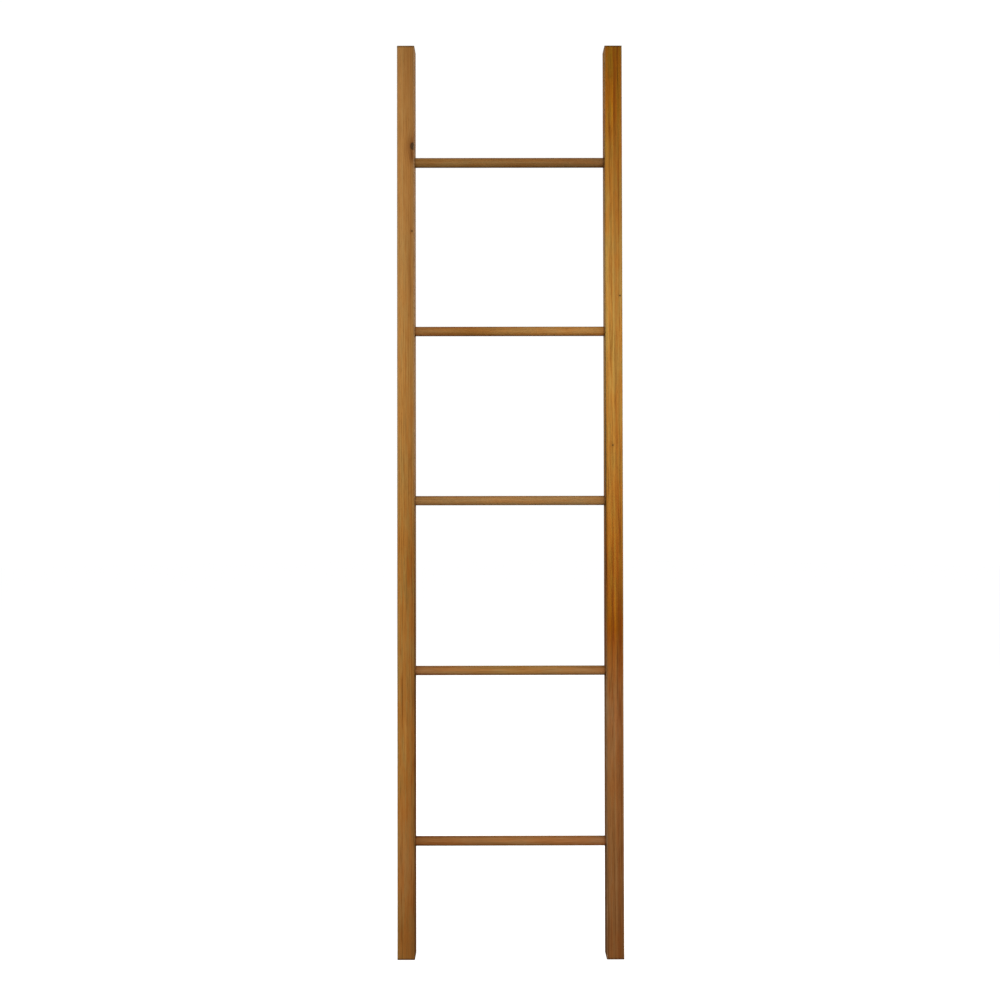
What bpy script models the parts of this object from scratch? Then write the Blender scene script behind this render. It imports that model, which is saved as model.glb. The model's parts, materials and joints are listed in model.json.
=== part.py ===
"""Leaning ladder: two square stiles joined by five round rungs.

Each rung end sits in a blind socket in a stile's inner face. A wood screw through the stile holds it there, and a
wooden plug in the stile's outer face covers the screw's head. Lengths are in metres. Seen from the front, +X is
to the right, +Y is to the back and +Z is up. The origin is on the floor, midway between the feet.
"""

import math

import bmesh
import bpy
from mathutils import Matrix

# Overall sizes
HEIGHT = 1.8288
WIDTH = 0.452
STILE_SIDE = 0.035
STILE_EASING = 0.0012
CLEAR_WIDTH = WIDTH - 2 * STILE_SIDE

# Rungs, counted from the floor up
RUNG_COUNT = 5
RUNG_PITCH = 0.342
RUNG_DIAMETER = 0.019
RUNG_CHAMFER = 0.001
LOWEST_RUNG = (HEIGHT - (RUNG_COUNT - 1) * RUNG_PITCH) / 2

# Joint between a rung and a stile
FIT_GAP = 0.0003
SOCKET_DEPTH = 0.016
CUTTER_OVERRUN = 0.002

# Plug
PLUG_DIAMETER = 0.010
PLUG_LENGTH = 0.006
PLUG_CHAMFER = 0.0005

# Wood screw
SCREW_DIAMETER = 0.0042
SCREW_CORE = 0.0029
SCREW_LENGTH = 0.045
HEAD_DIAMETER = 0.0085
HEAD_HEIGHT = 0.003
HEAD_CHAMFER = 0.0006
RECESS_WIDTH = 0.0035
RECESS_DEPTH = 0.0018
TIP_LENGTH = 0.005
THREAD_PITCH = 0.003
THREAD_TURNS = 8
THREAD_TOP = TIP_LENGTH + THREAD_TURNS * THREAD_PITCH - SCREW_LENGTH
THREAD_BOTTOM = TIP_LENGTH - SCREW_LENGTH

# Heights along a joint's axis, from the stile's inner face outwards
SCREW_SEAT = STILE_SIDE - PLUG_LENGTH - FIT_GAP - HEAD_HEIGHT
PILOT_DEPTH = SOCKET_DEPTH - SCREW_SEAT + SCREW_LENGTH + FIT_GAP

# Facets round a full turn
RUNG_STEPS = 32
PLUG_STEPS = 20
HOLE_STEPS = 32
SCREW_STEPS = 12
ROWS_PER_THREAD_TURN = 3
BEVEL_SEGMENTS = 2
MERGE_DISTANCE = 0.00001
SMOOTH_BELOW = math.radians(35)

SIDES = {"left": -1, "right": 1}

# Base colour (linear), roughness and metallic
STILE_FINISH = ((0.376, 0.181, 0.048), 0.5, 0.0)
RUNG_FINISH = ((0.305, 0.141, 0.034), 0.5, 0.0)
PLUG_FINISH = ((0.255, 0.112, 0.030), 0.6, 0.0)
SCREW_FINISH = ((0.600, 0.580, 0.540), 0.35, 1.0)


def clear_scene():
    for obj in list(bpy.data.objects):
        bpy.data.objects.remove(obj)


def new_collection(name, parent):
    collection = bpy.data.collections.new(name)
    parent.children.link(collection)
    return collection


def new_material(name, finish):
    colour, roughness, metallic = finish
    material = bpy.data.materials.new(name)
    material.use_nodes = True
    shader = material.node_tree.nodes["Principled BSDF"]
    shader.inputs["Base Color"].default_value = (*colour, 1.0)
    shader.inputs["Roughness"].default_value = roughness
    shader.inputs["Metallic"].default_value = metallic
    return material


def new_object(name, mesh, material, collection):
    obj = bpy.data.objects.new(name, mesh)
    if material and not mesh.materials:
        mesh.materials.append(material)
    collection.objects.link(obj)
    return obj


def turned_mesh(name, profile, steps):
    """A closed mesh turned about Z from (radius, height) points that run down the outer side."""
    points = [(radius, 0.0, height) for radius, height in profile]
    outline = bpy.data.meshes.new(name + "_outline")
    outline.from_pydata(points, [(i, i + 1) for i in range(len(points) - 1)], [])
    guide = bpy.data.objects.new(name + "_guide", outline)
    bpy.context.scene.collection.objects.link(guide)
    turn = guide.modifiers.new("turn", "SCREW")
    turn.steps = steps
    turn.render_steps = steps
    turn.use_merge_vertices = True
    turn.merge_threshold = MERGE_DISTANCE
    graph = bpy.context.evaluated_depsgraph_get()
    mesh = bpy.data.meshes.new_from_object(guide.evaluated_get(graph))
    mesh.name = name
    bpy.data.objects.remove(guide)
    bpy.data.meshes.remove(outline)
    shade_round(mesh)
    return mesh


def shade_round(mesh):
    mesh.shade_smooth()
    mesh.set_sharp_from_angle(angle=SMOOTH_BELOW)


def rung_mesh():
    """A dowel along Z with chamfered ends and a pilot bore in each end."""
    radius = RUNG_DIAMETER / 2
    bore = SCREW_DIAMETER / 2 + FIT_GAP
    end = CLEAR_WIDTH / 2 + SOCKET_DEPTH
    floor = end - PILOT_DEPTH
    upper = [
        (0.0, floor - bore),
        (bore, floor),
        (bore, end),
        (radius - RUNG_CHAMFER, end),
        (radius, end - RUNG_CHAMFER),
    ]
    lower = [(r, -height) for r, height in reversed(upper)]
    return turned_mesh("rung", upper + lower, RUNG_STEPS)


def plug_mesh():
    """A plug along Z with its show face at 0 and its chamfered inner end below."""
    radius = PLUG_DIAMETER / 2
    profile = [
        (0.0, 0.0),
        (radius, 0.0),
        (radius, PLUG_CHAMFER - PLUG_LENGTH),
        (radius - PLUG_CHAMFER, -PLUG_LENGTH),
        (0.0, -PLUG_LENGTH),
    ]
    return turned_mesh("plug", profile, PLUG_STEPS)


def joint_cutter_mesh():
    """The space that a joint takes out of a stile: counterbore, shank hole and socket, from the top down."""
    counterbore = PLUG_DIAMETER / 2 + FIT_GAP
    shank = SCREW_DIAMETER / 2 + FIT_GAP
    socket = RUNG_DIAMETER / 2 + FIT_GAP
    profile = [
        (0.0, STILE_SIDE + CUTTER_OVERRUN),
        (counterbore, STILE_SIDE + CUTTER_OVERRUN),
        (counterbore, SCREW_SEAT - FIT_GAP),
        (shank, SCREW_SEAT - FIT_GAP),
        (shank, SOCKET_DEPTH + FIT_GAP),
        (socket, SOCKET_DEPTH + FIT_GAP),
        (socket, -CUTTER_OVERRUN),
        (0.0, -CUTTER_OVERRUN),
    ]
    return turned_mesh("joint_cutter", profile, HOLE_STEPS)


def thread_radius(angle, height):
    """The radius of the thread's surface, whose ridge climbs one pitch each turn."""
    phase = (height / THREAD_PITCH - angle / (2 * math.pi)) % 1.0
    ridge = 1.0 - abs(2.0 * phase - 1.0)
    return (SCREW_CORE + (SCREW_DIAMETER - SCREW_CORE) * ridge) / 2


def hexagon_share(angle):
    """How far out a hexagon reaches at one of the screw's facets, as a share of its corners' radius."""
    facet = round(angle / (2 * math.pi / SCREW_STEPS))
    return 1.0 if facet % 2 == 0 else math.cos(math.pi / 6)


def shape_screw_surface(mesh):
    """Winds the thread round the core and makes the round recess a hexagon."""
    corner = RECESS_WIDTH / 2 / math.cos(math.pi / 6)
    for vertex in mesh.vertices:
        x, y, z = vertex.co
        radius = math.hypot(x, y)
        angle = math.atan2(y, x)
        if THREAD_BOTTOM + MERGE_DISTANCE < z < THREAD_TOP - MERGE_DISTANCE:
            wanted = thread_radius(angle, z)
        elif z > 0 and 0 < radius < corner + MERGE_DISTANCE:
            wanted = corner * hexagon_share(angle)
        else:
            continue
        vertex.co = (wanted * math.cos(angle), wanted * math.sin(angle), z)


def screw_mesh():
    """A wood screw along Z, with the underside of its head at 0 and its point below."""
    corner = RECESS_WIDTH / 2 / math.cos(math.pi / 6)
    head = HEAD_DIAMETER / 2
    core = SCREW_CORE / 2
    rows = THREAD_TURNS * ROWS_PER_THREAD_TURN
    row_height = THREAD_PITCH / ROWS_PER_THREAD_TURN
    profile = [
        (0.0, HEAD_HEIGHT - RECESS_DEPTH),
        (corner, HEAD_HEIGHT - RECESS_DEPTH),
        (corner, HEAD_HEIGHT),
        (head - HEAD_CHAMFER, HEAD_HEIGHT),
        (head, HEAD_HEIGHT - HEAD_CHAMFER),
        (head, 0.0),
        (SCREW_DIAMETER / 2, 0.0),
        (SCREW_DIAMETER / 2, THREAD_TOP + row_height),
    ]
    profile += [(core, THREAD_TOP - row * row_height) for row in range(rows + 1)]
    profile.append((0.0, -SCREW_LENGTH))
    mesh = turned_mesh("screw", profile, SCREW_STEPS)
    shape_screw_surface(mesh)
    shade_round(mesh)
    return mesh


def batten_mesh():
    mesh = bpy.data.meshes.new("stile")
    batten = bmesh.new()
    bmesh.ops.create_cube(batten, size=1.0, matrix=Matrix.Diagonal((STILE_SIDE, STILE_SIDE, HEIGHT, 1.0)))
    batten.to_mesh(mesh)
    batten.free()
    return mesh


def add_stile(name, side, mesh, material, parts, cutters):
    """A square batten with eased edges, cut by the joints on its side."""
    stile = new_object(name, mesh, material, parts)
    stile.location = (side * (WIDTH - STILE_SIDE) / 2, 0.0, HEIGHT / 2)
    easing = stile.modifiers.new("easing", "BEVEL")
    easing.width = STILE_EASING
    easing.segments = BEVEL_SEGMENTS
    joints = stile.modifiers.new("joints", "BOOLEAN")
    joints.operation = "DIFFERENCE"
    joints.operand_type = "COLLECTION"
    joints.collection = cutters


def add_joint_centre(name, side, height, collection):
    """An empty on the stile's inner face, whose +Z points out through the stile."""
    centre = bpy.data.objects.new(name, None)
    centre.empty_display_size = STILE_SIDE
    centre.location = (side * CLEAR_WIDTH / 2, 0.0, height)
    centre.rotation_euler = (0.0, side * math.pi / 2, 0.0)
    collection.objects.link(centre)
    return centre


def add_cutter(name, mesh, centre, collection):
    cutter = new_object(name, mesh, None, collection)
    cutter.parent = centre
    cutter.hide_render = True
    cutter.display_type = "WIRE"


def add_fastening(name, mesh, material, along, centre, collection):
    """A screw or a plug, set along a joint's axis."""
    piece = new_object(name, mesh, material, collection)
    piece.parent = centre
    piece.location = (0.0, 0.0, along)


def add_rung(name, mesh, material, height, collection):
    rung = new_object(name, mesh, material, collection)
    rung.location = (0.0, 0.0, height)
    rung.rotation_euler = (0.0, math.pi / 2, 0.0)


def build_ladder():
    clear_scene()
    scene_collection = bpy.context.scene.collection
    parts = new_collection("ladder_frame", scene_collection)
    helpers = new_collection("ladder_frame_cutters", scene_collection)
    batten = batten_mesh()
    rung = rung_mesh()
    plug = plug_mesh()
    screw = screw_mesh()
    cutter = joint_cutter_mesh()
    stile_wood = new_material("stile_wood", STILE_FINISH)
    rung_wood = new_material("rung_wood", RUNG_FINISH)
    plug_wood = new_material("plug_wood", PLUG_FINISH)
    steel = new_material("screw_steel", SCREW_FINISH)
    rung_heights = [LOWEST_RUNG + row * RUNG_PITCH for row in range(RUNG_COUNT)]
    for number, height in enumerate(rung_heights, 1):
        add_rung(f"rung_{number}", rung, rung_wood, height, parts)
    for side_name, side in SIDES.items():
        cutters = new_collection(f"{side_name}_stile_cutters", helpers)
        for number, height in enumerate(rung_heights, 1):
            ending = f"{side_name}_{number}"
            centre = add_joint_centre(f"joint_{ending}", side, height, parts)
            add_cutter(f"cutter_{ending}", cutter, centre, cutters)
            add_fastening(f"screw_{ending}", screw, steel, SCREW_SEAT, centre, parts)
            add_fastening(f"plug_{ending}", plug, plug_wood, STILE_SIDE, centre, parts)
        add_stile(f"{side_name}_stile", side, batten, stile_wood, parts, cutters)
    bpy.context.view_layer.update()


build_ladder()
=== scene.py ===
import json
import math
from dataclasses import dataclass, field

import bmesh
import bpy
import numpy as np
from mathutils import Matrix, Vector, noise

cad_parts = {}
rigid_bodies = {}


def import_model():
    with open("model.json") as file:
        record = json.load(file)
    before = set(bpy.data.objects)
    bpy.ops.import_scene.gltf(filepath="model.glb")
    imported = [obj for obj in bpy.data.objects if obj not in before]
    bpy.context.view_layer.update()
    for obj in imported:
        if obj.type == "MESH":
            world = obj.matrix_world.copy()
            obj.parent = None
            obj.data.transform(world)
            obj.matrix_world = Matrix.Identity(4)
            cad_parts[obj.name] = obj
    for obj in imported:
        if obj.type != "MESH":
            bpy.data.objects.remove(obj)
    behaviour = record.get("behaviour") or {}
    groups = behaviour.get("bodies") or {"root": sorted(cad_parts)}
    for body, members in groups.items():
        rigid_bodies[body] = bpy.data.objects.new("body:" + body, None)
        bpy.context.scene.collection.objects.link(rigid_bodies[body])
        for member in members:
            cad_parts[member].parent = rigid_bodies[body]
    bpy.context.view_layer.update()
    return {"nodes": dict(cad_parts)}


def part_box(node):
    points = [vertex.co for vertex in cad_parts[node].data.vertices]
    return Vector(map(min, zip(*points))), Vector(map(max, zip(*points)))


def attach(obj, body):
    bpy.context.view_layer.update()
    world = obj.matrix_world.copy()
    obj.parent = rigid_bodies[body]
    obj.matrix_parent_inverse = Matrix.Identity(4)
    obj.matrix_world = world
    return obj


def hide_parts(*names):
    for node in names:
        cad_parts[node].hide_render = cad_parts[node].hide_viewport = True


# A leaning ladder of oiled teak: two square stiles, five round rungs, and a plugged screw at each joint.
# Lengths are in metres. Seen from the front, +X is to the right, +Y to the back and +Z up the stiles.
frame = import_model()

MM = 0.001
SIDES = {"left": -1, "right": 1}
RUNGS = range(1, 6)
BODY = "root"


def middle(node):
    low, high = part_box(node)
    return (low + high) / 2


def size(node):
    low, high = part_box(node)
    return high - low


# Sizes that the CAD gives
STILE_SIDE = size("left_stile").x
HEIGHT = size("left_stile").z
INNER_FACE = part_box("right_stile")[0].x
OUTER_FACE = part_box("right_stile")[1].x
RUNG_HEIGHTS = [middle(f"rung_{i}").z for i in RUNGS]
RUNG_PITCH = RUNG_HEIGHTS[1] - RUNG_HEIGHTS[0]
RUNG_RADIUS = size("rung_1").z / 2
RUNG_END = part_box("rung_1")[1].x
PLUG_RADIUS = size("plug_right_1").z / 2
PLUG_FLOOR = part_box("plug_right_1")[0].x
SCREW_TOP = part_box("screw_right_1")[1].x
SCREW_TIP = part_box("screw_right_1")[0].x
HEAD_RADIUS = size("screw_right_1").z / 2

# Small shapes of the real joinery
EASING = 1.2 * MM
END_CHAMFER = 0.5 * MM
RUNG_CHAMFER = 1.0 * MM
PLUG_CHAMFER = 0.5 * MM
PLUG_RIM = 0.12 * MM
FIT_GAP = 0.05 * MM
END_GAP = 0.3 * MM
RIM_EASING = 0.35 * MM
COUNTERBORE_EASING = 0.15 * MM
HEAD_GAP = 0.15 * MM
BORE_RADIUS = 2.4 * MM
HEAD_DEPTH = 3.0 * MM

# The dowel that a plug is cut from, before it is trimmed flush
PLUG_BLANK = 8 * MM

# How far a worked surface strays from true
PLANED_WAVE = 0.10 * MM
TURNED_WAVE = 0.07 * MM
TRIMMED_WAVE = 0.06 * MM
KNOT_HOLLOW = 0.35 * MM

# Edges that turn by more than this many degrees are shaded as creases
SHARP_ABOVE = 32

# The pale colour of the stiles' edges, partly rubbed bare wood and partly a painted highlight, and what dirt
# and glue at a joint multiply the wood's colour by
PALE_EDGE_WOOD = (0.34, 0.22, 0.12)
JOINT_DIRT = (0.55, 0.46, 0.40)

# Camera, at the photograph's place
LENS = 33.98
CAMERA_PLACE = Vector((-0.0240, -1.9051, 0.8966))
CAMERA_YAW = math.radians(0.114)
CAMERA_PITCH = math.radians(0.571)
CAMERA_ROLL = math.radians(-0.097)


@dataclass
class Knot:
    """An oval knot in a stile's front face, placed by its height and its distance from the stile's middle.

    Depth is how far it goes in. Halo is how strongly it darkens and reddens the wood round it, and push is
    how far it shoves the grain aside.
    """

    height: float
    across: float
    half_height: float
    half_width: float
    depth: float = 8 * MM
    halo: float = 1.0
    push: float = 0.0


@dataclass
class Stain:
    """A patch of darker or lighter grain, placed like a knot. Tint multiplies the colour at its middle."""

    height: float
    across: float
    half_height: float
    half_width: float
    tint: tuple


@dataclass
class Wood:
    """How one piece's wood looks. Lists of pairs start with a share of the piece's length or width.

    Tones are the colours from its start to its end, and across multiplies them from its left to its right.
    On a stile the tones are partly the wood's own and partly painted light, darker towards the ends, and
    across also darkens the long edges with painted shade. Pith is the middle of the growth rings, as
    (across, depth) from the piece's middle. Slope is how far the grain leans. Contrast is how sharply the
    grain divides into dark and pale, and figure is how much of that shows, by length. On a stile,
    wear_and_highlight is how pale the edges are, by length, partly real rubbed wear and partly a painted
    highlight, and inner is painted shade that multiplies the colour of the face towards the rungs, by
    length.
    """

    seed: float
    tones: list
    across: list
    pith: tuple
    ring_spacing: float = 4.2 * MM
    contrast: float = 1.0
    slope: float = 0.0
    figure: list = field(default_factory=lambda: [(0.0, 1.0), (1.0, 1.0)])
    wear_and_highlight: list = field(default_factory=list)
    inner: list = field(default_factory=list)
    knots: list = field(default_factory=list)
    stains: list = field(default_factory=list)


class Graph:
    """One material's shader nodes, added and wired by short calls."""

    def __init__(self, name):
        self.material = bpy.data.materials.new(name)
        self.material.use_nodes = True
        self.nodes = self.material.node_tree.nodes
        self.links = self.material.node_tree.links
        self.shader = self.nodes["Principled BSDF"]

    def feed(self, socket, value):
        if isinstance(value, bpy.types.NodeSocket):
            self.links.new(value, socket)
        else:
            socket.default_value = value

    def add(self, kind, inputs, **settings):
        node = self.nodes.new("ShaderNode" + kind)
        for name, value in settings.items():
            setattr(node, name, value)
        for key, value in inputs.items():
            self.feed(node.inputs[key], value)
        return node

    def math(self, operation, *values):
        return self.add("Math", dict(enumerate(values)), operation=operation).outputs[0]

    def scaled(self, value, factor, offset=0.0):
        return self.math("MULTIPLY_ADD", value, factor, offset)

    def point(self, x, y, z):
        return self.add("CombineXYZ", {0: x, 1: y, 2: z}).outputs[0]

    def distance(self, x, y, z):
        """How far the point (x, y, z) is from the origin."""
        return self.add("VectorMath", {0: self.point(x, y, z)}, operation="LENGTH").outputs["Value"]

    def bell(self, reach, width):
        """1 at reach 0, falling smoothly to nothing past width."""
        square = self.math("POWER", self.scaled(reach, 1 / width), 2.0)
        return self.math("EXPONENT", self.scaled(square, -1.0))

    def noise(self, x, y, z, detail=2.0, roughness=0.5):
        inputs = {"Vector": self.point(x, y, z), "Scale": 1.0, "Detail": detail, "Roughness": roughness}
        return self.add("TexNoise", inputs).outputs["Fac"]

    def stretched_noise(self, place, per_metre, offset, detail=2.0, roughness=0.5):
        """Noise with its own number of blotches per metre in each of place's three directions.

        Offset moves it along, so that no two pieces are alike.
        """
        x, y, z = place
        scale_x, scale_y, scale_z = per_metre
        x, y, z = self.scaled(x, scale_x), self.scaled(y, scale_y), self.scaled(z, scale_z, offset)
        return self.noise(x, y, z, detail, roughness)

    def step(self, value, low, high, start=0.0, end=1.0):
        """A smooth climb from start to end as value goes from low to high."""
        inputs = {"Value": value, "From Min": low, "From Max": high, "To Min": start, "To Max": end}
        return self.add("MapRange", inputs, interpolation_type="SMOOTHSTEP").outputs["Result"]

    def ramp(self, value, stops):
        """Blends between stops, each a place from 0 to 1 with a colour or a grey level."""
        node = self.add("ValToRGB", {"Fac": value})
        elements = node.color_ramp.elements
        while len(elements) < len(stops):
            elements.new(0.5)
        for element, (place, colour) in zip(elements, stops):
            element.position = place
            element.color = (*colour, 1.0) if isinstance(colour, tuple) else (colour, colour, colour, 1.0)
        return node.outputs["Color"]

    def mix(self, share, first, second, blend="MIX"):
        node = self.add("Mix", {0: share}, data_type="RGBA", blend_type=blend)
        self.feed(node.inputs[6], first)
        self.feed(node.inputs[7], second)
        return node.outputs[2]

    def times(self, first, second):
        return self.mix(1.0, first, second, "MULTIPLY")


class WoodGraph(Graph):
    """One piece's wood."""

    # The grain multiplies the wood's tones by a shade, from dark lines to pale, and a hue, from green to red
    SHADES = [
        (0.0, (0.60, 0.47, 0.30)),
        (0.35, (0.83, 0.75, 0.62)),
        (0.7, (0.96, 0.94, 0.90)),
        (1.0, (1.0, 1.0, 1.0)),
    ]
    HUES = [(0.43, (0.92, 1.00, 0.96)), (0.50, (1.00, 0.95, 0.80)), (0.57, (1.00, 0.82, 0.56))]

    # About the average of a shade times a hue, which wood without any figure has all over
    MEAN_FIGURE = (0.90, 0.79, 0.64)

    # The light and dark of one growth ring, from its start to its end
    RING_PROFILE = [(0.0, 0.25), (0.08, 0.7), (0.35, 1.0), (0.85, 0.8), (1.0, 0.25)]

    # A knot's dark heart, from its middle to its rim, and how deep a stain goes in
    KNOT_HEART = [(0.36, (0.012, 0.007, 0.004)), (0.56, (0.075, 0.036, 0.012)), (0.8, (0.022, 0.011, 0.005))]
    STAIN_DEPTH = 12 * MM

    def __init__(self, name, wood, grain_axis, length):
        super().__init__(name + "_teak")
        self.wood = wood
        self.grain_axis = grain_axis
        self.centre = middle(name)
        self.along, self.across, self.depth = self.grain_coordinates()
        self.in_piece = (self.along, self.across, self.depth)
        self.share = self.scaled(self.along, 1 / length, 0.5)
        self.knots = [(knot, self.mark_reach(knot, knot.depth, self.across)) for knot in wood.knots]
        self.bent = self.bend_grain()
        self.in_grain = (self.along, self.bent, self.depth)
        self.draw_rings()
        self.draw_fibres()
        self.paint()
        self.shape_surface()
        self.add_stains()
        self.add_knots()

    def grain_coordinates(self):
        """(along the grain, across, depth) from the piece's centre, in metres."""
        place = self.add("TexCoord", {}).outputs["Object"]
        parts = self.add("SeparateXYZ", {0: place}).outputs
        x, y, z = [self.scaled(parts[i], 1.0, -self.centre[i]) for i in range(3)]
        return (z, x, y) if self.grain_axis == "Z" else (x, y, z)

    def mark_reach(self, mark, mark_depth, across):
        """0 at the middle of a knot or stain on the front face, and 1 at its edge."""
        below_centre = self.centre.z - mark.height
        high = self.scaled(self.along, 1 / mark.half_height, below_centre / mark.half_height)
        wide = self.scaled(across, 1 / mark.half_width, -mark.across / mark.half_width)
        deep = self.scaled(self.depth, 1 / mark_depth, STILE_SIDE / 2 / mark_depth)
        return self.distance(high, wide, deep)

    def bend_grain(self):
        """The place across the grain, which wanders slowly along the piece and bends round each knot."""
        seed = self.wood.seed
        sway = self.noise(self.scaled(self.along, 1.4), seed, 0.0)
        ripple = self.noise(self.scaled(self.along, 11.0), self.scaled(self.across, 40.0), seed, 1.0)
        sway = self.scaled(sway, 4 * MM, -2 * MM)
        ripple = self.scaled(ripple, 1.0 * MM, -0.5 * MM)
        sloping = self.math("MULTIPLY_ADD", self.along, self.wood.slope, self.across)
        bent = self.math("ADD", sloping, self.math("ADD", sway, ripple))
        for knot, reach in self.knots:
            pull = self.scaled(self.bell(reach, 2.6), -0.6)
            shift = self.math("MULTIPLY", pull, self.scaled(self.across, 1.0, -knot.across))
            bent = self.math("ADD", bent, shift)
            bent = self.math("MULTIPLY_ADD", self.bell(reach, 3.2), knot.push, bent)
        return bent

    def draw_rings(self):
        """Growth rings round the pith: a tone for each ring, and a line that is dark where one ring ends."""
        wood = self.wood
        pith_across, pith_depth = wood.pith
        across = self.scaled(self.bent, 1.0, -pith_across)
        radius = self.distance(across, self.scaled(self.depth, 1.0, -pith_depth), 0.0)
        drift = self.noise(self.scaled(self.along, 0.8), self.scaled(self.across, 12.0), wood.seed + 4, 1.0)
        ring = self.math("ADD", self.scaled(radius, 1 / wood.ring_spacing), self.scaled(drift, 1.6))
        slow_along = self.scaled(self.along, 0.5)
        self.ring_tone = self.noise(self.scaled(ring, 1.1), slow_along, wood.seed + 9, 3.0, 0.6)
        self.ring_line = self.ramp(self.math("FRACT", ring), self.RING_PROFILE)

    def draw_fibres(self):
        """Streaks, fibres and pores, all drawn out along the grain. Most pores are where two rings meet."""
        seed = self.wood.seed
        self.streak = self.stretched_noise(self.in_grain, (9.0, 320.0, 240.0), seed, 3.0, 0.6)
        self.fibre = self.stretched_noise(self.in_grain, (22.0, 1500.0, 1500.0), seed, 3.0)
        vessel = self.stretched_noise(self.in_grain, (90.0, 2600.0, 2600.0), seed, 1.0)
        density = self.step(self.ring_line, 1.0, 0.4, 0.35, 1.0)
        self.pores = self.math("MULTIPLY", self.step(vessel, 0.60, 0.70), density)

    def paint(self):
        """The wood's tones, with the grain's light and dark and its drift from green to red."""
        tone = self.scaled(self.ring_tone, 0.42)
        tone = self.math("MULTIPLY_ADD", self.ring_line, 0.10, tone)
        tone = self.math("MULTIPLY_ADD", self.streak, 0.32, tone)
        tone = self.math("MULTIPLY_ADD", self.fibre, 0.16, tone)
        swing = 0.13 / self.wood.contrast
        shade = self.ramp(self.step(tone, 0.50 - swing, 0.50 + swing), self.SHADES)

        mottle = self.stretched_noise(self.in_grain, (20.0, 120.0, 80.0), self.wood.seed + 2)
        thread = self.stretched_noise(self.in_grain, (5.0, 400.0, 300.0), self.wood.seed + 6)
        warmth = self.math("MULTIPLY_ADD", mottle, 0.5, self.scaled(thread, 0.5))
        hue = self.ramp(warmth, self.HUES)

        strength = self.ramp(self.share, self.wood.figure)
        figure = self.mix(strength, (*self.MEAN_FIGURE, 1.0), self.times(shade, hue))
        # On a stile the tones and across carry painted light as well as the wood's colour: darker towards
        # the ends and along the long edges
        lengthwise = self.ramp(self.share, self.wood.tones)
        crosswise = self.ramp(self.scaled(self.bent, 1 / STILE_SIDE, 0.5), self.wood.across)
        self.colour = self.times(self.times(lengthwise, crosswise), figure)
        self.darken(self.step(self.fibre, 0.54, 0.36), (0.85, 0.82, 0.77))
        self.darken(self.scaled(self.pores, 0.7), (0.50, 0.42, 0.36))

    def shape_surface(self):
        """Raised fibres and sunken pores, and a sheen that varies in patches."""
        height = self.scaled(self.fibre, 0.5)
        height = self.math("MULTIPLY_ADD", self.ring_line, 0.35, height)
        self.height = self.math("MULTIPLY_ADD", self.pores, -0.9, height)
        patches = self.stretched_noise(self.in_piece, (9.0, 60.0, 60.0), self.wood.seed)
        self.rough = self.scaled(patches, 0.16, 0.46)
        self.roughen(self.fibre, 0.10)
        self.roughen(self.pores, 0.18)

    def add_stains(self):
        """Stains with edges that follow the streaks."""
        for stain in self.wood.stains:
            ragged_across = self.scaled(self.streak, 2 * MM, self.across)
            reach = self.mark_reach(stain, self.STAIN_DEPTH, ragged_across)
            self.darken(self.bell(reach, 1.0), stain.tint)

    def add_knots(self):
        """Knots: a dark, cracked and sunken heart with a ragged rim, in a red halo."""
        for knot, reach in self.knots:
            ragged = self.math("ADD", reach, self.scaled(self.fibre, 0.5, -0.25))
            self.darken(self.scaled(self.bell(reach, 2.4), 0.85 * knot.halo), (0.60, 0.46, 0.36))
            heart = self.step(ragged, 1.2, 0.7)
            crack_x, crack_y = self.scaled(self.along, 500.0), self.scaled(self.across, 900.0)
            cracks = self.noise(crack_x, crack_y, self.wood.seed + 3, 3.0, 0.7)
            core = self.math("MULTIPLY_ADD", cracks, 0.9, self.scaled(ragged, 0.35))
            self.colour = self.mix(self.scaled(heart, 0.95), self.colour, self.ramp(core, self.KNOT_HEART))
            self.height = self.math("MULTIPLY_ADD", heart, -0.8, self.height)

    def darken(self, mask, tint):
        """Multiplies the colour by tint where mask is 1."""
        self.colour = self.mix(mask, self.colour, self.times(self.colour, (*tint, 1.0)))

    def roughen(self, mask, amount):
        """Adds amount to the roughness where mask is 1."""
        self.rough = self.math("MULTIPLY_ADD", mask, amount, self.rough)

    def add_end_grain(self):
        """The cut ends drink more oil, so they are darker and duller."""
        normal = self.add("TexCoord", {}).outputs["Normal"]
        along_normal = self.add("SeparateXYZ", {0: normal}).outputs["XYZ".index(self.grain_axis)]
        cut = self.step(self.math("ABSOLUTE", along_normal), 0.6, 0.9)
        self.darken(cut, (0.84, 0.78, 0.72))
        self.roughen(cut, 0.18)

    def finish(self, relief=0.20):
        """The material, with the colour, roughness and bump wired to its shader."""
        bump = self.add("Bump", {"Height": self.height, "Strength": relief, "Distance": 0.3 * MM})
        self.feed(self.shader.inputs["Base Color"], self.colour)
        self.feed(self.shader.inputs["Roughness"], self.math("MINIMUM", self.rough, 0.95))
        self.feed(self.shader.inputs["Normal"], bump.outputs["Normal"])
        self.shader.inputs["IOR"].default_value = 1.45
        self.shader.inputs["Specular IOR Level"].default_value = 0.05
        return self.material


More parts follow.
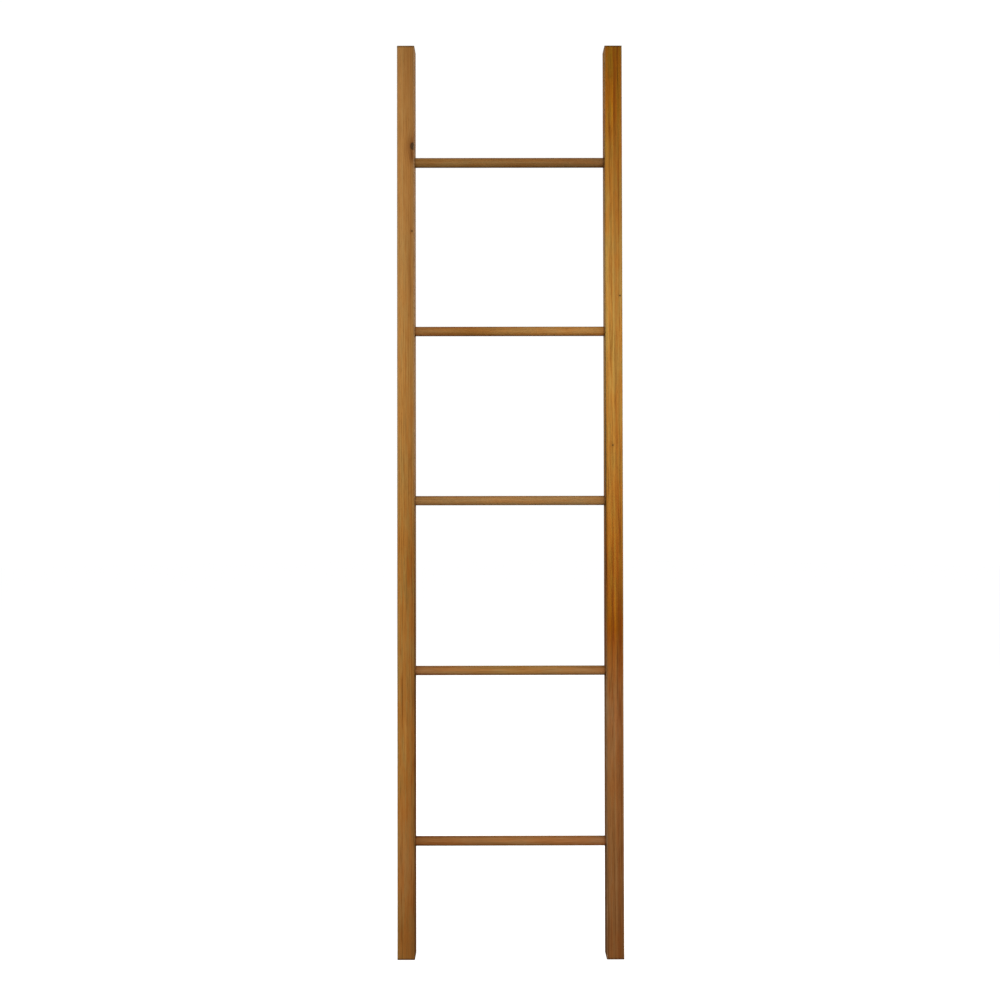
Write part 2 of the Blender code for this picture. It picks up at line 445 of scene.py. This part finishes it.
def shade_and_wear_edges(graph):
    """Painted shade darkens a stile's long edges, and a paler colour lightens them in patches, partly real
    wear and partly a painted highlight.
    """
    edge_x = graph.math("ABSOLUTE", graph.scaled(graph.across, 2 / STILE_SIDE))
    edge_y = graph.math("ABSOLUTE", graph.scaled(graph.depth, 2 / STILE_SIDE))
    near_edge = graph.step(graph.math("MINIMUM", edge_x, edge_y), 0.82, 0.985)
    edge_patches = graph.stretched_noise(graph.in_piece, (16.0, 30.0, 30.0), graph.wood.seed)
    pale_by_length = graph.ramp(graph.share, graph.wood.wear_and_highlight)
    pale_edge = graph.math("MULTIPLY", graph.step(edge_patches, 0.30, 0.62, 0.4, 1.0), pale_by_length)
    pale_edge = graph.math("MULTIPLY", pale_edge, near_edge)
    # Painted shade: the long edges are darkened
    graph.darken(near_edge, (0.78, 0.82, 0.86))
    # Pale edges in patches, partly real wear and partly a painted highlight
    graph.colour = graph.mix(pale_edge, graph.colour, (*PALE_EDGE_WOOD, 1.0))
    graph.roughen(pale_edge, 0.10)


def shade_inner_face(graph, side):
    """Painted shade on the face towards the rungs: its colour is multiplied by the wood's inner ramp, by
    length.
    """
    face = STILE_SIDE / 2
    inner_face = graph.step(graph.scaled(graph.across, -side), face - 1.2 * MM, face - 0.4 * MM)
    darker = graph.times(graph.colour, graph.ramp(graph.share, graph.wood.inner))
    graph.colour = graph.mix(inner_face, graph.colour, darker)


def soak_ends(graph):
    """Oil soaks a little way into the sawn ends."""
    to_end = graph.scaled(graph.math("ABSOLUTE", graph.along), -1.0, HEIGHT / 2)
    graph.darken(graph.step(to_end, 5 * MM, 1.5 * MM), (0.52, 0.54, 0.52))


def mark_sockets(graph, side):
    """Glue and hand dirt darken the wood round each rung's socket."""
    bay_share = graph.math("FRACT", graph.scaled(graph.along, 1 / RUNG_PITCH, 0.5))
    to_rung = graph.scaled(graph.math("ABSOLUTE", graph.scaled(bay_share, 1.0, -0.5)), RUNG_PITCH)
    spread = graph.distance(to_rung, graph.depth, 0.0)
    inward = graph.step(graph.scaled(graph.across, -side), 0.40 * STILE_SIDE, 0.46 * STILE_SIDE)
    dirt = graph.math("MULTIPLY", inward, graph.step(spread, RUNG_RADIUS + 3 * MM, RUNG_RADIUS))
    graph.darken(graph.scaled(dirt, 0.8), JOINT_DIRT)


def stile_material(name, wood, side):
    graph = WoodGraph(name, wood, "Z", HEIGHT)
    shade_and_wear_edges(graph)
    shade_inner_face(graph, side)
    soak_ends(graph)
    mark_sockets(graph, side)
    graph.add_end_grain()
    return graph.finish()


def rung_material(name, wood):
    """Wood with painted shade along the top and a painted shadow of the stiles towards each end, and joint
    dirt in the last few millimetres.
    """
    graph = WoodGraph(name, wood, "X", size(name).x)
    to_joint = graph.scaled(graph.math("ABSOLUTE", graph.along), -1.0, INNER_FACE)
    # Painted shade: the top of the rung is darkened
    top = graph.step(graph.depth, 0.76 * RUNG_RADIUS, 0.92 * RUNG_RADIUS)
    graph.darken(graph.scaled(top, 0.9), (0.74, 0.74, 0.72))
    # Painted shadow of the stiles: the rung darkens over its last 16 mm at each end; the next line is dirt
    # at the joint
    graph.darken(graph.scaled(graph.step(to_joint, 16 * MM, 0.0), 0.5), (0.68, 0.60, 0.54))
    graph.darken(graph.scaled(graph.step(to_joint, 4 * MM, 0.0), 0.6), JOINT_DIRT)
    graph.add_end_grain()
    return graph.finish()


def plug_material(name, wood):
    """End-grain wood with a dark glue line round it."""
    graph = WoodGraph(name, wood, "X", PLUG_BLANK)
    spread = graph.distance(graph.across, graph.depth, 0.0)
    graph.darken(graph.step(spread, 0.86 * PLUG_RADIUS, PLUG_RADIUS), (0.45, 0.36, 0.30))
    return graph.finish(relief=0.4)


def steel_material():
    """Zinc-plated steel with turning marks round the screw and a few dull spots."""
    graph = Graph("zinc_plated_steel")
    place = graph.add("SeparateXYZ", {0: graph.add("TexCoord", {}).outputs["Object"]}).outputs
    marks = graph.stretched_noise(place, (9000.0, 60.0, 60.0), 0.0)
    spots = graph.stretched_noise(place, (700.0, 700.0, 700.0), 0.0, 3.0)
    zinc = [(0.3, (0.40, 0.38, 0.33)), (0.55, (0.58, 0.56, 0.52)), (0.8, (0.66, 0.65, 0.62))]
    colour = graph.ramp(spots, zinc)
    rough = graph.math("MULTIPLY_ADD", marks, 0.15, graph.scaled(spots, 0.2, 0.18))
    bump = graph.add("Bump", {"Height": marks, "Strength": 0.2, "Distance": 0.05 * MM})
    graph.feed(graph.shader.inputs["Base Color"], colour)
    graph.feed(graph.shader.inputs["Roughness"], rough)
    graph.feed(graph.shader.inputs["Normal"], bump.outputs["Normal"])
    graph.shader.inputs["Metallic"].default_value = 1.0
    return graph.material


def place_piece(name, mesh, material):
    """Puts a finished mesh in the scene in place of the CAD node of that name."""
    mesh.materials.clear()
    mesh.materials.append(material)
    mesh.shade_smooth()
    mesh.set_sharp_from_angle(angle=math.radians(SHARP_ABOVE))
    piece = bpy.data.objects.new(name + "_teak", mesh)
    bpy.context.scene.collection.objects.link(piece)
    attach(piece, BODY)
    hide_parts(name)


def tidy_normals(mesh):
    """Joins points that share a place, and turns every face outward."""
    work = bmesh.new()
    work.from_mesh(mesh)
    bmesh.ops.remove_doubles(work, verts=work.verts, dist=0.002 * MM)
    bmesh.ops.recalc_face_normals(work, faces=work.faces)
    work.to_mesh(mesh)
    work.free()


def grid_mesh(name, rings, close_ends):
    """A tube through rings of points, each ring with the same number of points, capped if close_ends."""
    count = len(rings[0])
    points = [point for ring in rings for point in ring]
    faces = []
    for row in range(len(rings) - 1):
        for i in range(count):
            j = (i + 1) % count
            faces.append((row * count + i, row * count + j, (row + 1) * count + j, (row + 1) * count + i))
    if close_ends:
        faces.append(tuple(reversed(range(count))))
        faces.append(tuple(range((len(rings) - 1) * count, len(rings) * count)))
    mesh = bpy.data.meshes.new(name)
    mesh.from_pydata(points, [], faces)
    tidy_normals(mesh)
    return mesh


def stray(wave, sample):
    """How far a hand-worked surface is below true at a sample point, from 0 to wave."""
    return wave * (0.5 + 0.5 * noise.noise(sample))


def square_outline(half, easing, corner_steps=5, side_steps=18):
    """Points round a square with rounded corners, as (x, y, outward x, outward y)."""
    outline = []
    arc_centre = half - easing
    for corner in range(4):
        turn = corner * math.pi / 2
        centre_x = arc_centre if corner in (0, 3) else -arc_centre
        centre_y = arc_centre if corner in (0, 1) else -arc_centre
        for step in range(corner_steps + 1):
            angle = turn + step / corner_steps * math.pi / 2
            out_x, out_y = math.cos(angle), math.sin(angle)
            outline.append((centre_x + easing * out_x, centre_y + easing * out_y, out_x, out_y))
        start_x, start_y, out_x, out_y = outline[-1]
        side_angle = turn + math.pi / 2
        along_x, along_y = -math.sin(side_angle), math.cos(side_angle)
        for step in range(1, side_steps):
            reach = 2 * arc_centre * step / side_steps
            outline.append((start_x + along_x * reach, start_y + along_y * reach, out_x, out_y))
    return outline


def stile_levels(knots, body_levels=220, knot_levels=25):
    """Heights of the stile's rings of points: close together at the ends and knots."""
    levels = {0.0, END_CHAMFER, HEIGHT - END_CHAMFER, HEIGHT}
    levels.update(np.linspace(4 * MM, HEIGHT - 4 * MM, body_levels).tolist())
    for knot in knots:
        span = 2 * knot.half_height
        levels.update(np.linspace(knot.height - span, knot.height + span, knot_levels).tolist())
    return sorted(levels)


def knot_hollow(knot, x, level):
    reach = math.hypot((x - knot.across) / knot.half_width, (level - knot.height) / knot.half_height)
    return KNOT_HOLLOW * math.exp(-reach ** 4)


def stile_mesh(name, wood):
    """A planed batten: eased edges, sawn ends, a surface that is never quite flat, and a sunken knot."""
    centre = middle(name)
    outline = square_outline(STILE_SIDE / 2, EASING)
    rings = []
    for level in stile_levels(wood.knots):
        inset = max(0.0, END_CHAMFER - min(level, HEIGHT - level))
        ring = []
        for x, y, out_x, out_y in outline:
            sample = Vector((x * 30, y * 30, level * 7 + wood.seed))
            hollow = inset + stray(PLANED_WAVE, sample)
            faces_front = y < 0 and out_y < -0.9
            if faces_front:
                hollow += sum(knot_hollow(knot, x, level) for knot in wood.knots)
            ring.append((centre.x + x - out_x * hollow, centre.y + y - out_y * hollow, level))
        rings.append(ring)
    return grid_mesh(name, rings, True)


def turned_rings(profile, steps, x_sign, centre, wave=0.0, seed=0.0):
    """Rings of points about the X axis through centre, from (distance along x, radius) pairs.

    Wave makes the outside uneven, and leaves a bore as it is.
    """
    rings = []
    for reach, radius in profile:
        ring = []
        for step in range(steps):
            angle = 2 * math.pi * step / steps
            sample = Vector((reach * 18 + seed, math.cos(angle) * 0.9, math.sin(angle) * 0.9))
            at = radius - stray(wave, sample) if radius > RUNG_RADIUS / 2 else radius
            ring.append((x_sign * reach, centre.y + at * math.cos(angle), centre.z + at * math.sin(angle)))
        rings.append(ring)
    return rings


def joint_cutter(side, centre, steps=64):
    """What the joint takes out of the stile: a socket, a bore, a screw head's seat and a plug's seat."""
    socket = RUNG_RADIUS + FIT_GAP
    plug_seat = PLUG_RADIUS + FIT_GAP
    plug_mouth = plug_seat + COUNTERBORE_EASING
    head_seat = HEAD_RADIUS + HEAD_GAP
    clear = 1 * MM
    floor = RUNG_END + END_GAP
    head_floor = SCREW_TOP - HEAD_DEPTH
    plug_floor = PLUG_FLOOR - FIT_GAP
    profile = [
        (INNER_FACE - clear, socket + RIM_EASING + clear),
        (INNER_FACE, socket + RIM_EASING),
        (INNER_FACE + RIM_EASING, socket),
        (floor, socket),
        (floor, BORE_RADIUS),
        (head_floor, BORE_RADIUS),
        (head_floor, head_seat),
        (plug_floor, head_seat),
        (plug_floor, plug_seat),
        (OUTER_FACE - COUNTERBORE_EASING, plug_seat),
        (OUTER_FACE, plug_mouth),
        (OUTER_FACE + clear, plug_mouth + clear),
    ]
    return grid_mesh("joint_cutter", turned_rings(profile, steps, side, centre), True)


def cut_joints(mesh, side):
    """The mesh with its five joints cut out."""
    guide = bpy.data.objects.new("guide", mesh)
    bpy.context.scene.collection.objects.link(guide)
    cutters = bpy.data.collections.new("cutters")
    for height in RUNG_HEIGHTS:
        cutter = bpy.data.objects.new("cutter", joint_cutter(side, Vector((0, 0, height))))
        cutters.objects.link(cutter)
    bpy.context.scene.collection.children.link(cutters)
    cut = guide.modifiers.new("joints", "BOOLEAN")
    cut.operation = "DIFFERENCE"
    cut.operand_type = "COLLECTION"
    cut.collection = cutters
    cut.solver = "EXACT"
    depsgraph = bpy.context.evaluated_depsgraph_get()
    result = bpy.data.meshes.new_from_object(guide.evaluated_get(depsgraph))
    for obj in [guide, *cutters.objects]:
        bpy.data.objects.remove(obj)
    bpy.data.collections.remove(cutters)
    return result


def rung_mesh(name, seed, steps=80, body_levels=90):
    """A sanded dowel with chamfered ends, bored for the screws."""
    bore_end = SCREW_TIP - END_GAP
    end = [
        (-bore_end + BORE_RADIUS, 0.0),
        (-bore_end, BORE_RADIUS),
        (-RUNG_END, BORE_RADIUS),
        (-RUNG_END, RUNG_RADIUS - RUNG_CHAMFER),
        (-RUNG_END + RUNG_CHAMFER, RUNG_RADIUS),
    ]
    body_end = RUNG_END - 2 * RUNG_CHAMFER
    body = [(float(reach), RUNG_RADIUS) for reach in np.linspace(-body_end, body_end, body_levels)]
    other_end = [(-reach, radius) for reach, radius in reversed(end)]
    rings = turned_rings(end + body + other_end, steps, 1, middle(name), TURNED_WAVE, seed)
    return grid_mesh(name, rings, False)


def plug_mesh(name, side, seed, steps=48):
    """A wooden plug, chamfered where it goes in and trimmed flush by hand outside."""
    hidden = [
        (PLUG_FLOOR, 0.0),
        (PLUG_FLOOR, PLUG_RADIUS - PLUG_CHAMFER),
        (PLUG_FLOOR + PLUG_CHAMFER, PLUG_RADIUS),
    ]
    rim = [
        (OUTER_FACE - PLUG_RIM, PLUG_RADIUS),
        (OUTER_FACE - 0.3 * PLUG_RIM, PLUG_RADIUS - 0.3 * PLUG_RIM),
        (OUTER_FACE, PLUG_RADIUS - PLUG_RIM),
    ]
    face = [(OUTER_FACE, PLUG_RADIUS * share) for share in (0.85, 0.65, 0.45, 0.22, 0.0)]
    rings = turned_rings(hidden + rim + face, steps, side, middle(name))
    for ring in rings[len(hidden):]:
        for i, (x, y, z) in enumerate(ring):
            dip = stray(TRIMMED_WAVE, Vector((y * 300, z * 300, seed)))
            ring[i] = (x - side * dip, y, z)
    return grid_mesh(name, rings, False)


def floor_mesh(radius=16.0, steps=96):
    """A disc on the ground, a little wider than the backdrop."""
    work = bmesh.new()
    bmesh.ops.create_circle(work, cap_ends=True, segments=steps, radius=radius)
    mesh = bpy.data.meshes.new("studio_floor")
    work.to_mesh(mesh)
    work.free()
    return mesh


def dome_mesh(radius=15.0, steps=64):
    """A ball round everything, whose lower half is under the floor."""
    work = bmesh.new()
    bmesh.ops.create_uvsphere(work, u_segments=steps, v_segments=steps // 2, radius=radius)
    mesh = bpy.data.meshes.new("studio_backdrop")
    work.to_mesh(mesh)
    work.free()
    return mesh


def white_surface(name, albedo, glow):
    """A matt surface that glows by itself, so that it looks white to the camera."""
    graph = Graph(name)
    graph.shader.inputs["Base Color"].default_value = (albedo, albedo, albedo, 1.0)
    graph.shader.inputs["Roughness"].default_value = 0.9
    graph.shader.inputs["Specular IOR Level"].default_value = 0.1
    graph.shader.inputs["Emission Color"].default_value = (1.0, 1.0, 1.0, 1.0)
    graph.shader.inputs["Emission Strength"].default_value = glow
    return graph.material


def add_stage():
    """A white floor and surround that light nothing, so that only the lamps and the sky light the wood."""
    surfaces = {
        "studio_floor": (floor_mesh(), white_surface("floor_white", 0.25, 0.93)),
        "studio_backdrop": (dome_mesh(), white_surface("backdrop_white", 0.0, 1.02)),
    }
    for name, (mesh, material) in surfaces.items():
        mesh.materials.append(material)
        surface = bpy.data.objects.new(name, mesh)
        bpy.context.scene.collection.objects.link(surface)
        surface.visible_diffuse = False
        surface.visible_glossy = False
        surface.visible_shadow = False


def add_sky(above, below):
    """Soft light from all round, which fades from its strength above to its strength below."""
    world = bpy.data.worlds.new("studio_sky")
    world.use_nodes = True
    bpy.context.scene.world = world
    nodes, links = world.node_tree.nodes, world.node_tree.links
    direction = nodes.new("ShaderNodeTexCoord").outputs["Generated"]
    split = nodes.new("ShaderNodeSeparateXYZ")
    links.new(direction, split.inputs[0])
    level = nodes.new("ShaderNodeMapRange")
    level.inputs["From Min"].default_value = -0.35
    level.inputs["From Max"].default_value = 0.6
    level.inputs["To Min"].default_value = below
    level.inputs["To Max"].default_value = above
    links.new(split.outputs["Z"], level.inputs["Value"])
    links.new(level.outputs["Result"], nodes["Background"].inputs["Strength"])
    nodes["Background"].inputs["Color"].default_value = (1.0, 1.0, 1.0, 1.0)


def add_softbox(name, place, target, width, height, power):
    """A rectangular lamp at place, turned towards target, that the camera doesn't see."""
    lamp = bpy.data.lights.new(name, "AREA")
    lamp.shape = "RECTANGLE"
    lamp.size = width
    lamp.size_y = height
    lamp.energy = power
    softbox = bpy.data.objects.new(name, lamp)
    softbox.location = place
    softbox.rotation_euler = (Vector(target) - Vector(place)).to_track_quat("-Z", "Y").to_euler()
    softbox.visible_camera = False
    bpy.context.scene.collection.objects.link(softbox)


def add_camera():
    """The photograph's view: level with the third rung, and almost square on."""
    yaw, pitch, roll = CAMERA_YAW, CAMERA_PITCH, CAMERA_ROLL
    ahead = Vector((math.sin(yaw) * math.cos(pitch), math.cos(yaw) * math.cos(pitch), math.sin(pitch)))
    level = Vector((math.cos(yaw), -math.sin(yaw), 0.0))
    upright = level.cross(ahead)
    right = level * math.cos(roll) + upright * math.sin(roll)
    up = upright * math.cos(roll) - level * math.sin(roll)
    lens = bpy.data.cameras.new("camera")
    lens.sensor_width = 36.0
    lens.lens = LENS
    camera = bpy.data.objects.new("camera", lens)
    turned = Matrix((right, up, -ahead)).transposed().to_4x4()
    camera.matrix_world = Matrix.Translation(CAMERA_PLACE) @ turned
    bpy.context.scene.collection.objects.link(camera)
    bpy.context.scene.camera = camera


LEFT_WOOD = Wood(
    seed=3.1,
    pith=(0.11, 0.03),
    contrast=2.6,
    figure=[(0.10, 0.75), (0.25, 0.95), (0.42, 1.0), (0.58, 0.6), (0.70, 0.42), (0.84, 0.32), (0.95, 0.26)],
    # How pale the edges are, by length: partly real wear and partly a painted highlight
    wear_and_highlight=[(0.42, 0.0), (0.55, 0.5)],
    # Painted shade on the face towards the rungs, by length
    inner=[(0.0, 0.76), (0.36, 0.70), (0.50, 0.88)],
    # Partly the wood's own colour and partly painted light, darker towards the ends
    tones=[
        (0.03, (0.27, 0.12, 0.03)),
        (0.10, (0.33, 0.15, 0.045)),
        (0.20, (0.325, 0.15, 0.035)),
        (0.30, (0.325, 0.16, 0.04)),
        (0.45, (0.34, 0.17, 0.04)),
        (0.64, (0.41, 0.22, 0.065)),
        (0.80, (0.41, 0.225, 0.075)),
        (0.93, (0.405, 0.22, 0.075)),
        (1.00, (0.35, 0.19, 0.065)),
    ],
    # The wood's colour from left to right, with painted shade at the long edges
    across=[
        (0.06, (0.92, 0.94, 0.96)),
        (0.14, (1.0, 1.0, 1.0)),
        (0.38, (0.98, 0.98, 0.96)),
        (0.58, (0.86, 0.82, 0.76)),
        (0.76, (0.84, 0.77, 0.68)),
        (0.92, (0.74, 0.70, 0.66)),
    ],
    # A large knot above the top joint and a pin knot further down, then the dark wood under the large knot
    # and a few strong streaks
    knots=[
        Knot(1.626, 13.5 * MM, 8 * MM, 4.2 * MM, push=4 * MM),
        Knot(1.455, 12.5 * MM, 2.2 * MM, 1.6 * MM, depth=4 * MM, halo=0.5),
    ],
    stains=[
        Stain(1.604, 13 * MM, 14 * MM, 4 * MM, (0.60, 0.48, 0.42)),
        Stain(1.370, 9 * MM, 80 * MM, 3 * MM, (0.82, 0.76, 0.70)),
        Stain(0.785, 8 * MM, 75 * MM, 5 * MM, (0.88, 0.74, 0.52)),
        Stain(0.720, 2 * MM, 36 * MM, 1.8 * MM, (0.76, 0.70, 0.60)),
        Stain(0.440, 0 * MM, 36 * MM, 2 * MM, (1.30, 1.40, 1.60)),
    ],
)
RIGHT_WOOD = Wood(
    seed=8.6,
    pith=(-0.12, 0.04),
    contrast=2.5,
    slope=0.0027,
    figure=[(0.08, 0.5), (0.20, 0.6), (0.32, 0.8), (0.44, 1.0), (0.60, 0.8), (0.82, 0.75), (0.94, 1.0)],
    # How pale the edges are, by length: partly real wear and partly a painted highlight
    wear_and_highlight=[(0.28, 0.5), (0.42, 0.0), (0.88, 0.0), (0.95, 0.3)],
    # Painted shade on the face towards the rungs, by length
    inner=[(0.22, 0.84), (0.38, 0.72), (0.88, 0.62), (0.96, 0.9)],
    # Partly the wood's own colour and partly painted light, darker towards the ends and brightest part way
    # up
    tones=[
        (0.03, (0.21, 0.09, 0.03)),
        (0.09, (0.235, 0.11, 0.04)),
        (0.18, (0.25, 0.11, 0.035)),
        (0.26, (0.28, 0.13, 0.05)),
        (0.36, (0.255, 0.08, 0.0)),
        (0.46, (0.365, 0.15, 0.015)),
        (0.62, (0.46, 0.24, 0.05)),
        (0.74, (0.455, 0.25, 0.06)),
        (0.93, (0.30, 0.12, 0.008)),
        (1.00, (0.23, 0.095, 0.004)),
    ],
    # The wood's colour from left to right, with painted shade at the long edges
    across=[
        (0.04, (0.86, 0.87, 0.86)),
        (0.14, (1.0, 1.0, 1.0)),
        (0.50, (1.0, 1.0, 1.0)),
        (0.61, (0.76, 0.66, 0.58)),
        (0.72, (0.86, 0.77, 0.68)),
        (0.94, (0.86, 0.86, 0.86)),
    ],
    # Two pin knots, then the dark inner edge beside the middle rung and a few strong streaks
    knots=[
        Knot(1.325, 12.5 * MM, 1.9 * MM, 1.4 * MM, depth=3 * MM, halo=0.4),
        Knot(1.025, -2.5 * MM, 1.9 * MM, 1.4 * MM, depth=3 * MM, halo=0.4),
    ],
    stains=[
        Stain(0.920, -17.5 * MM, 260 * MM, 4.5 * MM, (0.46, 0.44, 0.36)),
        Stain(1.720, -1 * MM, 60 * MM, 1.6 * MM, (1.25, 1.40, 1.20)),
        Stain(1.710, 3.5 * MM, 70 * MM, 1.5 * MM, (0.80, 0.70, 0.60)),
        Stain(0.700, 1.5 * MM, 70 * MM, 4 * MM, (1.20, 1.30, 1.80)),
        Stain(0.700, 9.5 * MM, 60 * MM, 1.6 * MM, (0.72, 0.58, 0.40)),
        Stain(0.260, 7 * MM, 260 * MM, 7 * MM, (1.10, 1.14, 1.20)),
    ],
)
STILE_WOODS = {"left": LEFT_WOOD, "right": RIGHT_WOOD}

# The rungs' colours from left to right, for the lowest rung first
RUNG_TONES = [
    [(0.0, (0.245, 0.10, 0.03)), (0.55, (0.30, 0.145, 0.055)), (1.0, (0.29, 0.13, 0.055))],
    [(0.0, (0.305, 0.14, 0.055)), (0.5, (0.33, 0.185, 0.065)), (1.0, (0.305, 0.155, 0.065))],
    [(0.0, (0.30, 0.16, 0.06)), (0.5, (0.34, 0.19, 0.08)), (1.0, (0.325, 0.185, 0.075))],
    [
        (0.0, (0.31, 0.16, 0.06)),
        (0.3, (0.285, 0.125, 0.03)),
        (0.7, (0.395, 0.21, 0.07)),
        (1.0, (0.38, 0.18, 0.05)),
    ],
    [(0.0, (0.27, 0.155, 0.055)), (0.5, (0.24, 0.12, 0.04)), (1.0, (0.22, 0.115, 0.045))],
]

# A rung or plug is nearly the same colour all the way across
EVEN = [(0.0, (1.0, 1.0, 1.0)), (1.0, (0.94, 0.93, 0.92))]


def turned_pith(distance, turn):
    return distance * math.cos(turn), distance * math.sin(turn)


def add_stiles():
    for label, side in SIDES.items():
        name = label + "_stile"
        wood = STILE_WOODS[label]
        mesh = cut_joints(stile_mesh(name, wood), side)
        place_piece(name, mesh, stile_material(name, wood, side))


def add_rungs():
    for i, tones in zip(RUNGS, RUNG_TONES):
        name = f"rung_{i}"
        wood = Wood(
            seed=20 + 1.7 * i,
            tones=tones,
            across=EVEN,
            pith=turned_pith(0.03, 2.4 * i),
            ring_spacing=3.4 * MM,
            contrast=1.5,
            figure=[(0.0, 0.6), (1.0, 0.6)],
        )
        place_piece(name, rung_mesh(name, wood.seed), rung_material(name, wood))


def add_plugs():
    for label, side in SIDES.items():
        for i in RUNGS:
            name = f"plug_{label}_{i}"
            seed = 40 + 3.3 * i + side
            wood = Wood(
                seed=seed,
                tones=[(0.0, (0.27, 0.12, 0.034)), (1.0, (0.25, 0.11, 0.032))],
                across=EVEN,
                pith=turned_pith(0.012, seed),
                ring_spacing=2.2 * MM,
            )
            place_piece(name, plug_mesh(name, side, seed), plug_material(name, wood))


def finish_screws():
    """The screws keep their CAD shape, and get a better material."""
    steel = steel_material()
    for label in SIDES:
        for i in RUNGS:
            frame["nodes"][f"screw_{label}_{i}"].material_slots[0].material = steel


bpy.context.scene.view_settings.view_transform = "Standard"
add_camera()
add_stage()
add_sky(above=0.28, below=0.06)
add_softbox("key", place=(0.4, -2.9, 1.15), target=(0.0, 0.0, 0.8), width=3.4, height=2.4, power=112)
for side in SIDES.values():
    back, beside = (side * 2.4, 2.3, 2.0), (side * 2.8, -0.2, 1.8)
    add_softbox("back_fill", place=back, target=(0.0, 0.0, 0.9), width=1.6, height=1.8, power=75)
    add_softbox("side_fill", place=beside, target=(0.0, 0.0, 1.1), width=1.4, height=1.8, power=45)
add_stiles()
add_rungs()
add_plugs()
finish_screws()
